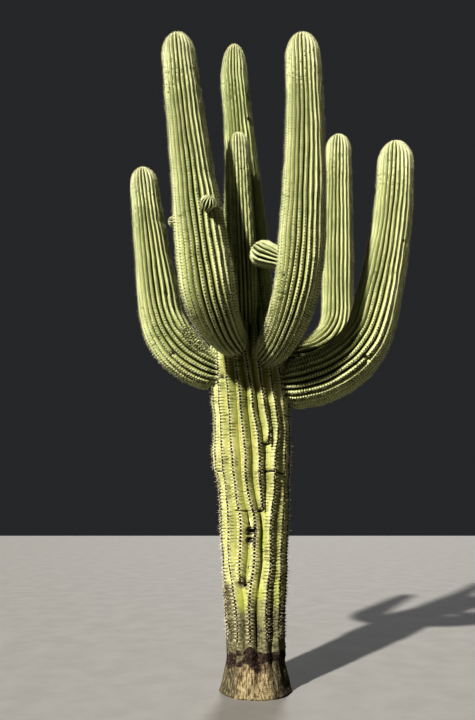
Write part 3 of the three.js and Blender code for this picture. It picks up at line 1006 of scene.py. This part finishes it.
def make_spines(name, groups, kind):
    """Spines as slender three-sided slivers, joined into one mesh and kept inside the frame's box."""
    number, lengths, rises, fans, thick, reach, outward = SPINES[kind]
    turn = np.linspace(0, 2 * math.pi, SPINE_SIDES, endpoint=False)[:, None]
    side = np.where(np.arange(number) % 2, 1, -1)
    points = []
    for cushions in groups:
        shape = (len(cushions.place), number)
        up, sideways, away = cushions.directions()
        out = RNG.random(shape) < outward
        steep = np.where(RNG.random(shape) < UPRIGHT, RNG.choice((-STEEPNESS, STEEPNESS), shape), 0)
        fan = np.radians(RNG.uniform(-fans, fans, shape) + steep)
        young = smoothstep(cushions.lengths - cushions.limb.body, *YOUNG_SPINES)[:, None]
        rise = np.radians(RNG.uniform(*rises, shape) + BRISTLE_RISE * young + OUTWARD_RISE * out)
        length = RNG.uniform(*lengths, shape) * (1 - YOUNG_LENGTH * young) * (1 + OUTWARD_LENGTH * out)
        flat = (side * np.cos(fan))[..., None] * sideways + np.sin(fan)[..., None] * up
        heading = np.cos(rise)[..., None] * flat + np.sin(rise)[..., None] * away
        broad = unit(np.cross(heading, away))
        thin = np.cross(heading, broad)
        root = cushions.place[:, None] + ROOT_HEIGHT * away + reach * flat
        ring = np.cos(turn) * broad[..., None, :] + np.sin(turn) * thin[..., None, :]
        foot = root[..., None, :] + ring * (thick / 2)
        tip = (root + length[..., None] * heading)[..., None, :]
        points.append(np.concatenate([foot, tip], axis=-2))
    return make_cones(name, points, SPINE_SIDES, smooth=False)


def colour(code):
    """Linear colour of an sRGB code such as a9ab68."""
    channels = [int(code[i : i + 2], 16) / 255 for i in (0, 2, 4)]
    return [c / 12.92 if c <= 0.04045 else ((c + 0.055) / 1.055) ** 2.4 for c in channels] + [1]


class Shader:
    """A material, with short calls for the nodes that the looks are made of."""

    def __init__(self, name):
        self.material = bpy.data.materials.new(name)
        self.material.use_nodes = True
        self.tree = self.material.node_tree

    def feed(self, node, inputs):
        """Gives a node's inputs, by name or place, values or other nodes' outputs."""
        for socket, value in inputs.items():
            if isinstance(value, bpy.types.NodeSocket):
                self.tree.links.new(value, node.inputs[socket])
            else:
                node.inputs[socket].default_value = value

    def node(self, kind, output, inputs, **settings):
        """One output of a new node."""
        node = self.tree.nodes.new("ShaderNode" + kind)
        for name, value in settings.items():
            setattr(node, name, value)
        self.feed(node, inputs)
        return node.outputs[output]

    def attribute(self, name, output="Fac"):
        return self.node("Attribute", output, {}, attribute_name=name)

    def place(self):
        return self.node("TexCoord", "Object", {})

    def stretch(self, vector, scale):
        return self.node("VectorMath", 0, {0: vector, 1: scale}, operation="MULTIPLY")

    def noise(self, vector, scale, detail=3.0, roughness=0.55):
        inputs = {"Vector": vector, "Scale": scale, "Detail": detail, "Roughness": roughness}
        return self.node("TexNoise", "Fac", inputs)

    def cells(self, vector, scale):
        inputs = {"Vector": vector, "Scale": scale}
        return self.node("TexVoronoi", "Distance", inputs, feature="DISTANCE_TO_EDGE")

    def step(self, value, low, high, bottom=0.0, top=1.0):
        inputs = {"Value": value, "From Min": low, "From Max": high, "To Min": bottom, "To Max": top}
        return self.node("MapRange", "Result", inputs, interpolation_type="SMOOTHSTEP")

    def math(self, operation, a, b=0.0):
        return self.node("Math", 0, {0: a, 1: b}, operation=operation)

    def times(self, a, b):
        return self.math("MULTIPLY", a, b)

    def mix(self, share, a, b, blend="MIX"):
        inputs = {"Factor": share, 6: a, 7: b}
        return self.node("Mix", 2, inputs, data_type="RGBA", blend_type=blend)

    def tint(self, base, tone, share=1.0):
        return self.mix(share, base, tone, "MULTIPLY")

    def bump(self, height, distance, strength=1.0, before=None):
        inputs = {"Strength": strength, "Distance": distance, "Height": height}
        if before is not None:
            inputs["Normal"] = before
        return self.node("Bump", "Normal", inputs)

    def finish(self, base, roughness, normal):
        surface = self.tree.nodes["Principled BSDF"]
        self.feed(surface, {"Base Color": base, "Roughness": roughness, "Normal": normal})
        return self.material


# The skins of the trunk, the arms and the growths: four colours, of which `young` is the flank's at the
# tip, by the share `youth`, and the groove's is painted shade in the grooves. `dark`: the ridge heights
# where that painted groove shade ends and the flank's colour is full. `notch_shade`: how dark the painted
# shade in the notches between the cushions is, away from an arm's joint, and `faint`: its share of that
# in patches. `knit`: how much further down the flanks that shade reaches in other patches, and `lift`:
# how much paler the painted groove shade is on the old trunk, both in ridge height.
SKIN_FIELDS = ("groove", "flank", "crest", "young", "dark", "notch_shade", "faint", "knit", "lift", "youth")
SKINS = {kind: dict(zip(SKIN_FIELDS, row)) for kind, row in {
    "trunk": ("2c300c", "a5a670", "d4d1b4", "b0b68c", (0.10, 0.58), 0.85, 0.8, 0.42, 0.52, 0.6),
    "arm": ("2a320a", "a0a672", "d6d9ba", "c3c9a8", (0.18, 0.64), 0.75, 0.3, 0.14, 0.0, 0.6),
    "bud": ("12160a", "b4ba86", "f8f6e4", "dcdebe", (0.36, 0.62), 0.0, 0.0, 0.0, 0.0, 0.2),
}.items()}
ROPE_NOTCH_REACH = 0.5  # the same as `knit`, at an arm's joint
CLOUD_TINTS = ((0.84, 0.87, 0.80, 1), (1.08, 1.06, 1.04, 1))
# Painted shade in the fine creases.
CREASE_SHADE_TINT = (0.42, 0.44, 0.30, 1)
# Painted shade in the notches between the cushions.
NOTCH_SHADE_TINT = (0.30, 0.30, 0.20, 1)
SPECK_TINT = (0.72, 0.70, 0.60, 1)
SCAR_AND_SHADE_COLOUR = "1d1812"
TORN_COLOUR = "d6d2b0"
BLOCK_LINE = "23260f"
CORK_COLOURS = colour("2b211c"), colour("66564a")
WOOD_COLOURS = colour("332d22"), colour("807861")
TAN_COLOURS = colour("4a3f2c"), colour("a2967a")
GREY_COLOURS = colour("332f22"), colour("7a7560")
FRESH_TINT = (0.92, 1.02, 0.96, 1)
VIVID_TINT = (1.00, 1.03, 0.80, 1)


def rib_colours(shader, skin, height):
    """From a rib's groove, painted dark as shade, to its crest, paler at the growing tip."""
    lift = shader.step(shader.attribute("fresh"), 0.0, 1.0, skin["lift"], 0.0)
    lit = shader.step(shader.math("ADD", height, lift), *skin["dark"])
    young = shader.step(shader.attribute("young"), 0.0, 1.0, 0, skin["youth"])
    flank = shader.mix(young, colour(skin["flank"]), colour(skin["young"]))
    base = shader.mix(lit, colour(skin["groove"]), flank)
    return shader.mix(shader.step(height, 0.62, 1.0, 0, 0.75), base, colour(skin["crest"]))


def crease_lines(shader, lay):
    """Fine level creases, gathered in patches, where the skin gets painted shade."""
    creases = shader.noise(shader.stretch(lay, (8, 8, 84)), 1.0, 3.0, 0.55)
    gathered = shader.step(shader.noise(lay, 6.5, 2.0), 0.48, 0.62, 0.12, 1.0)
    return shader.times(shader.step(creases, 0.44, 0.34), gathered)


def rib_notches(shader, skin, lay, ridge):
    """Notches across the ribs between the cushions, deepest at an arm's joint, where the skin gets
    painted shade.
    """
    joint = shader.attribute("joint")
    beads = shader.math("COSINE", shader.times(shader.attribute("beads"), 2 * math.pi))
    patchy = shader.step(shader.noise(lay, 6.0, 3.0), 0.40, 0.60, skin["faint"], 1.0)
    depth = shader.times(shader.step(joint, 0.0, 1.0, skin["notch_shade"], 1.0), patchy)
    knitted = shader.step(shader.noise(lay, 7.5, 2.0), 0.42, 0.62, 0, skin["knit"])
    reach = shader.math("MAXIMUM", shader.times(joint, ROPE_NOTCH_REACH), knitted)
    near_crest = shader.step(shader.math("ADD", reach, ridge), 0.80, 0.98)
    return shader.times(shader.times(shader.step(beads, 0.2, 0.9), near_crest), depth)


def green_skin(shader, skin, lay):
    """Colour, roughness and normal of waxy ribbed skin."""
    ridge = shader.attribute("ridge")
    blotches = shader.noise(lay, 26.0, 4.0, 0.6)
    grain = shader.noise(lay, 210.0, 2.0)
    uneven = shader.math("SUBTRACT", shader.times(blotches, 0.22), 0.11)
    base = rib_colours(shader, skin, shader.math("ADD", ridge, uneven))
    clouds = shader.step(shader.noise(lay, 5.0), 0.3, 0.7)
    base = shader.tint(base, shader.mix(clouds, *CLOUD_TINTS))
    lines = crease_lines(shader, lay)
    # Painted shade in the creases.
    base = shader.tint(base, CREASE_SHADE_TINT, lines)
    notches = rib_notches(shader, skin, lay, ridge)
    # Painted shade in the notches between the cushions.
    base = shader.tint(base, NOTCH_SHADE_TINT, notches)
    specks = shader.mix(shader.step(grain, 0.30, 0.44), SPECK_TINT, (1, 1, 1, 1))
    base = shader.tint(base, specks, 0.6)
    # Dark scarred skin, and painted shade in the cracks, pits and dents.
    base = shader.mix(shader.step(shader.attribute("scar"), 0.25, 0.8), base, colour(SCAR_AND_SHADE_COLOUR))
    rough = shader.step(blotches, 0.3, 0.7, 0.52, 0.68)
    normal = shader.bump(shader.times(lines, -1.0), 0.005, 0.8)
    normal = shader.bump(shader.times(notches, -1.0), 0.004, 0.8, normal)
    return base, rough, shader.bump(grain, 0.0008, 0.5, normal)


def blocky_skin(shader, lay, base, rough, normal):
    """The corky skin in small blocks where an arm has swelled against the trunk."""
    blocky = shader.step(shader.attribute("blocky"), 0.1, 0.8)
    blocks = shader.cells(shader.stretch(lay, (1, 1, 1.3)), 33.0)
    lines = shader.times(shader.step(blocks, 0.20, 0.04), blocky)
    base = shader.mix(shader.times(lines, 0.85), base, colour(BLOCK_LINE))
    return base, rough, shader.bump(shader.times(lines, -1.0), 0.006, 0.9, normal)


def cork_colours(shader, lay, fine):
    """The girdle's corky plates, and how high they stand."""
    plates = shader.cells(shader.stretch(lay, (1, 1, 1.6)), 34.0)
    cork = shader.mix(shader.step(plates, 0.0, 0.12), *CORK_COLOURS)
    return shader.mix(shader.step(fine, 0.4, 0.7), CORK_COLOURS[0], cork), plates


def wood_colours(shader, lay):
    """The foot's grooved wood, tan at the front, and its grooves."""
    streaks = shader.noise(shader.stretch(lay, (80, 80, 11)), 1.0, 5.0, 0.65)
    streaky = shader.step(streaks, 0.34, 0.66)
    tan = shader.step(shader.attribute("tan"), 0.2, 0.8)
    wood = shader.mix(tan, shader.mix(streaky, *WOOD_COLOURS), shader.mix(streaky, *TAN_COLOURS))
    return wood, streaks


def weathering(shader, lay, base, rough, normal):
    """The trunk's fresher stem, its grey old skin, its corky girdle, its woody foot, and its scars with
    painted shade in its cracks and pits.
    """
    base = shader.tint(base, FRESH_TINT, shader.attribute("fresh"))
    base = shader.tint(base, VIVID_TINT, shader.attribute("vivid"))
    fine = shader.noise(lay, 48.0, 5.0, 0.65)
    grey = shader.mix(shader.step(fine, 0.35, 0.65), *GREY_COLOURS)
    base = shader.mix(shader.step(shader.attribute("grey"), 0.1, 0.9, 0, 0.88), base, grey)
    wood, streaks = wood_colours(shader, lay)
    cork, plates = cork_colours(shader, lay, fine)
    woody = shader.step(shader.attribute("wood"), 0.2, 0.8)
    corky = shader.step(shader.attribute("cork"), 0.15, 0.7)
    base = shader.mix(corky, shader.mix(woody, base, wood), cork)
    base = shader.mix(shader.step(shader.attribute("torn"), 0.2, 0.7, 0, 0.75), base, colour(TORN_COLOUR))
    # Dark scarred skin, and painted shade in the cracks, pits and dents.
    base = shader.mix(shader.step(shader.attribute("scar"), 0.25, 0.8), base, colour(SCAR_AND_SHADE_COLOUR))
    rough = shader.math("ADD", rough, shader.times(shader.math("MAXIMUM", corky, woody), 0.28))
    normal = shader.bump(shader.times(plates, corky), 0.010, 0.8, normal)
    return base, rough, shader.bump(shader.times(streaks, woody), 0.008, 0.8, normal)


def skin_material(kind):
    """Green skin, with what else is on the trunk or on an arm."""
    shader = Shader(f"{kind}_skin")
    lay = shader.attribute("unbent", "Vector")
    looks = green_skin(shader, SKINS[kind], lay)
    if kind == "trunk":
        looks = weathering(shader, lay, *looks)
    if kind == "arm":
        looks = blocky_skin(shader, lay, *looks)
    return shader.finish(*looks)


def small_material(name, dark, pale, rough, scale):
    """Felt or spines: one plain colour with a slight mottle."""
    shader = Shader(name)
    place = shader.place()
    mottle = shader.noise(place, scale, 2.0)
    base = shader.mix(shader.step(mottle, 0.35, 0.65), colour(dark), colour(pale))
    normal = shader.bump(shader.noise(place, scale * 6, 2.0), 0.0006, 0.5)
    return shader.finish(base, rough, normal)


def dress(piece, material, nodes=()):
    """Gives a piece its material and body, and hides the nodes that it stands for."""
    piece.data.materials.append(material)
    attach(piece, BODY)
    if nodes:
        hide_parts(*nodes)


def make_skins(stem, arms, growths):
    """The ribbed skins that stand for the solids."""
    trunk_skin, arm_skin, bud_skin = (skin_material(kind) for kind in ("trunk", "arm", "bud"))
    dress(make_skin(stem), trunk_skin, ["trunk"])
    for name, arm in arms.items():
        dress(make_skin(arm), arm_skin, [f"{name}_elbow", name])
    for growth in growths:
        look = arm_skin if growth.name == "stub_arm" else bud_skin
        dress(make_skin(growth), look, [growth.name])


def free_cushions(limbs):
    """Each limb's cushions, without the ones that another limb hides."""
    rows = {}
    for limb in limbs:
        cushions = cushion_rows(limb)
        buried = np.zeros(len(cushions.place), bool)
        for other in limbs:
            if other is not limb:
                buried |= inside(other, cushions.place)
        cushions.keep(~buried)
        rows[limb.name] = cushions
    return rows


def old_cushions(cushions):
    """Which cushions have dark felt: ever fewer towards the tip."""
    age = (cushions.limb.body - cushions.lengths) / YOUNG_ROWS
    return age > RNG.uniform(0, 1, len(age))


def cushion_part(cushions, chosen):
    """Some of a limb's cushions."""
    part = copy.copy(cushions)
    part.keep(chosen)
    return part


def make_felt(rows):
    """Dark felt on the old cushions, near black both as the felt's own colour and as painted shade of the
    cushion and its spines, and pale felt on the young ones.
    """
    # Near black: dark felt and painted shade round the cushions.
    old_felt_and_shade = small_material("areole_felt", "12100a", "2c281a", 0.95, 160)
    young_felt = small_material("young_felt", "a3a284", "dddcc2", 0.9, 160)
    old = {name: old_cushions(part) for name, part in rows.items()}
    aged = {name: cushion_part(part, old[name]) for name, part in rows.items()}
    young = [cushion_part(part, ~old[name]) for name, part in rows.items()]
    dress(make_cushions("trunk_cushions", [aged.pop("trunk")]), old_felt_and_shade)
    dress(make_cushions("arm_cushions", aged.values()), old_felt_and_shade)
    dress(make_cushions("young_cushions", young), young_felt)


def make_all_spines(rows):
    """Spines, longer and greyer on the lower trunk."""
    oldest = small_material("oldest_spines", "b5ad90", "e8e1c6", 0.7, 60)
    old = small_material("old_spines", "c6bf9f", "ece6cf", 0.6, 60)
    pale = small_material("pale_spines", "cfcca4", "f6f4d8", 0.55, 60)
    height = rows["trunk"].lengths
    low, high = OLD_TRUNK
    for name, chosen, kind, look in (
        ("lower_trunk_spines", height < low, "foot", oldest),
        ("upper_trunk_spines", (height >= low) & (height < high), "old", old),
        ("trunk_crown_spines", (height >= high) & (height < SPINES_AS_ARMS), "stem", pale),
        ("leading_stem_spines", height >= SPINES_AS_ARMS, "arm", pale),
    ):
        dress(make_spines(name, [cushion_part(rows["trunk"], chosen)], kind), look)
    for name in sorted({arm["spines"] for arm in ARMS}):
        members = [rows[arm["name"]] for arm in ARMS if arm["spines"] == name]
        dress(make_spines(name, members, "arm"), pale)
    members = [rows[growth["name"]] for growth in GROWTHS]
    dress(make_spines("growth_spines", members, "bud"), pale)


def make_plant():
    """The whole plant, limb by limb."""
    stem = make_stem()
    arms = {arm["name"]: make_arm(arm) for arm in ARMS}
    growths = [make_growth(growth, arms[growth["on"]]) for growth in GROWTHS]
    limbs = [stem, *arms.values(), *growths]
    for limb in limbs:
        lay_rows(limb)
    make_skins(stem, arms, growths)
    rows = free_cushions(limbs)
    make_felt(rows)
    make_all_spines(rows)


# The photo's viewpoint: a standing person's eye, looking up at the plant.
CAMERA_PLACE = (-0.15, -5.35, 1.41)
CAMERA_PITCH = 14.04
CAMERA_LENS = 30
SENSOR = 36


def add_camera():
    data = bpy.data.cameras.new("view")
    data.lens = CAMERA_LENS
    data.sensor_width = SENSOR
    camera = bpy.data.objects.new("view", data)
    camera.location = CAMERA_PLACE
    camera.rotation_euler = (math.radians(90 + CAMERA_PITCH), 0, 0)
    bpy.context.collection.objects.link(camera)
    bpy.context.scene.camera = camera


KEY_BEARING = -124  # where the light comes from: the front, well to the left
KEY_HEIGHT = 34
KEY_STRENGTH = 4.7
KEY_SPREAD = 2
BACK_BEARING = 82  # a weaker light for the side that the camera doesn't see
BACK_HEIGHT = 38
BACK_STRENGTH = 1.6
BACK_SPREAD = 12
FILL = (0.88, 0.90, 0.94)
FILL_STRENGTH = 0.05
FLOOR_SIZE = 60


def add_sun(name, bearing, height, strength, spread, tint):
    """Parallel light that comes from a bearing and a height, in degrees."""
    lamp = bpy.data.lights.new(name, "SUN")
    lamp.energy = strength
    lamp.angle = math.radians(spread)
    lamp.color = tint
    sun = bpy.data.objects.new(name, lamp)
    sun.rotation_euler = (math.radians(90 - height), 0, math.radians(bearing + 90))
    bpy.context.collection.objects.link(sun)


def add_light():
    add_sun("key", KEY_BEARING, KEY_HEIGHT, KEY_STRENGTH, KEY_SPREAD, (1.0, 0.975, 0.93))
    add_sun("back", BACK_BEARING, BACK_HEIGHT, BACK_STRENGTH, BACK_SPREAD, FILL)
    world = bpy.data.worlds.new("studio")
    world.use_nodes = True
    sky = world.node_tree.nodes["Background"]
    sky.inputs["Color"].default_value = (*FILL, 1)
    sky.inputs["Strength"].default_value = FILL_STRENGTH
    bpy.context.scene.world = world
    bpy.context.scene.view_settings.view_transform = "Standard"
    bpy.context.scene.view_settings.look = "Very High Contrast"


def add_floor():
    half = FLOOR_SIZE / 2
    corners = np.array([(-half, -half, 0), (half, -half, 0), (half, half, 0), (-half, half, 0)])
    floor = make_object("floor", corners, [np.array([[0, 1, 2, 3]])])
    shader = Shader("floor")
    mottle = shader.noise(shader.place(), 3.0)
    base = shader.mix(shader.step(mottle, 0.3, 0.7), colour("868480"), colour("8b8985"))
    floor.data.materials.append(shader.finish(base, 0.9, shader.bump(mottle, 0.001, 0.2)))


add_camera()
add_light()
add_floor()
make_plant()
